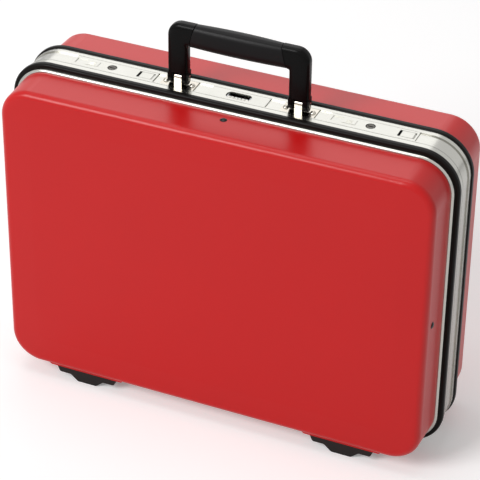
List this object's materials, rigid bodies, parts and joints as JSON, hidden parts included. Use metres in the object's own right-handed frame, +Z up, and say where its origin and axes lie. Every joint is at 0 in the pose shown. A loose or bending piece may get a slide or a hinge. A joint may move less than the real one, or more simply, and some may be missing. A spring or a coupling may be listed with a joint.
{
  "type": "hard case",
  "caption": "Hard-shell carrying case with a hinged lid, aluminium frame and black beads, flush slide locks with key cylinders, number dials, a folding handle and feet.",
  "frame": {"origin": "on the floor under the middle of the closed case, at the bottom of the feet", "axes": "+X along the case to the right seen from the lid, +Y from the lid towards the base, +Z up"},
  "size_m": [0.49, 0.1466, 0.4365],
  "materials": {
    "shell_red": "fine-grained moulded sheet, semi-gloss",
    "frame_aluminium": "satin anodised extrusion",
    "bead_black": "smooth extruded strip",
    "foot_black": "moulded, dull",
    "seal_rubber": "soft strip",
    "bow_black": "moulded, semi-gloss",
    "grip_black": "soft grained grip",
    "cover_aluminium": "brushed cover plate",
    "nickel": "nickel plated",
    "inner_steel": "plain zinc-plated sheet and wire",
    "rivet_black": "blackened rivet head",
    "dial_metal": "turned wheel with dark numbers"
  },
  "bodies": {
    "base": {"base_bead": "bead_black", "base_feet": "foot_black", "base_frame": "frame_aluminium", "base_shell": "shell_red", "bracket_rivets": "nickel", "dial_axle": "inner_steel", "dial_cage": "inner_steel", "dial_plate": "cover_aluminium", "flap_pin_left": "inner_steel", "flap_pin_right": "inner_steel", "handle_bracket_left": "nickel", "handle_bracket_right": "nickel", "handle_pin_left": "nickel", "handle_pin_right": "nickel", "hinge_base_leaf_left": "inner_steel", "hinge_base_leaf_right": "inner_steel", "hinge_base_rivets": "inner_steel", "hinge_pin_left": "inner_steel", "hinge_pin_right": "inner_steel", "lock_case_left": "inner_steel", "lock_case_right": "inner_steel", "lock_cover_left": "cover_aluminium", "lock_cover_right": "cover_aluminium"},
    "lid": {"hinge_lid_leaf_left": "inner_steel", "hinge_lid_leaf_right": "inner_steel", "hinge_lid_rivets": "inner_steel", "lid_bead": "bead_black", "lid_feet": "foot_black", "lid_frame": "frame_aluminium", "lid_rivets": "rivet_black", "lid_seal": "seal_rubber", "lid_shell": "shell_red", "striker_left": "inner_steel", "striker_right": "inner_steel", "striker_rivets": "inner_steel"},
    "handle": {"handle_bow": "bow_black", "handle_grip": "grip_black"},
    "slide_left": {"lock_bolt_left": "inner_steel", "slide_button_left": "nickel"},
    "key_left": {"key_cylinder_left": "nickel"},
    "flap_left": {"release_flap_left": "nickel"},
    "slide_right": {"lock_bolt_right": "inner_steel", "slide_button_right": "nickel"},
    "key_right": {"key_cylinder_right": "nickel"},
    "flap_right": {"release_flap_right": "nickel"},
    "dial_left": {"dial_left": "dial_metal"},
    "dial_middle": {"dial_middle": "dial_metal"},
    "dial_right": {"dial_right": "dial_metal"}
  },
  "joints": [
    {"name": "lid_hinge", "type": "hinge", "parent": "base", "child": "lid", "pos_m": [0, -0.0106, 0.0082], "axis": [1, 0, 0], "range_deg": [0, 100]},
    {"name": "handle_swing", "type": "hinge", "parent": "base", "child": "handle", "pos_m": [0, -0.00015, 0.373], "axis": [1, 0, 0], "range_deg": [-85, 85]},
    {"name": "slide_left", "type": "slide", "parent": "base", "child": "slide_left", "axis": [1, 0, 0], "range_m": [-0.008, 0]},
    {"name": "key_turn_left", "type": "hinge", "parent": "base", "child": "key_left", "pos_m": [-0.1414, -0.00015, 0.3647], "axis": [0, 0, 1], "range_deg": [0, 90]},
    {"name": "flap_lift_left", "type": "hinge", "parent": "base", "child": "flap_left", "pos_m": [-0.0962, -0.00015, 0.3628], "axis": [0, 1, 0], "range_deg": [0, 55]},
    {"name": "slide_right", "type": "slide", "parent": "base", "child": "slide_right", "axis": [1, 0, 0], "range_m": [-0.008, 0]},
    {"name": "key_turn_right", "type": "hinge", "parent": "base", "child": "key_right", "pos_m": [0.1414, -0.00015, 0.3647], "axis": [0, 0, 1], "range_deg": [0, 90]},
    {"name": "flap_lift_right", "type": "hinge", "parent": "base", "child": "flap_right", "pos_m": [0.1866, -0.00015, 0.3628], "axis": [0, 1, 0], "range_deg": [0, 55]},
    {"name": "dial_turn_left", "type": "hinge", "parent": "base", "child": "dial_left", "pos_m": [0, -0.00285, 0.3602], "axis": [1, 0, 0], "continuous": true},
    {"name": "dial_turn_middle", "type": "hinge", "parent": "base", "child": "dial_middle", "pos_m": [0, -0.00285, 0.3602], "axis": [1, 0, 0], "continuous": true},
    {"name": "dial_turn_right", "type": "hinge", "parent": "base", "child": "dial_right", "pos_m": [0, -0.00285, 0.3602], "axis": [1, 0, 0], "continuous": true}
  ]
}
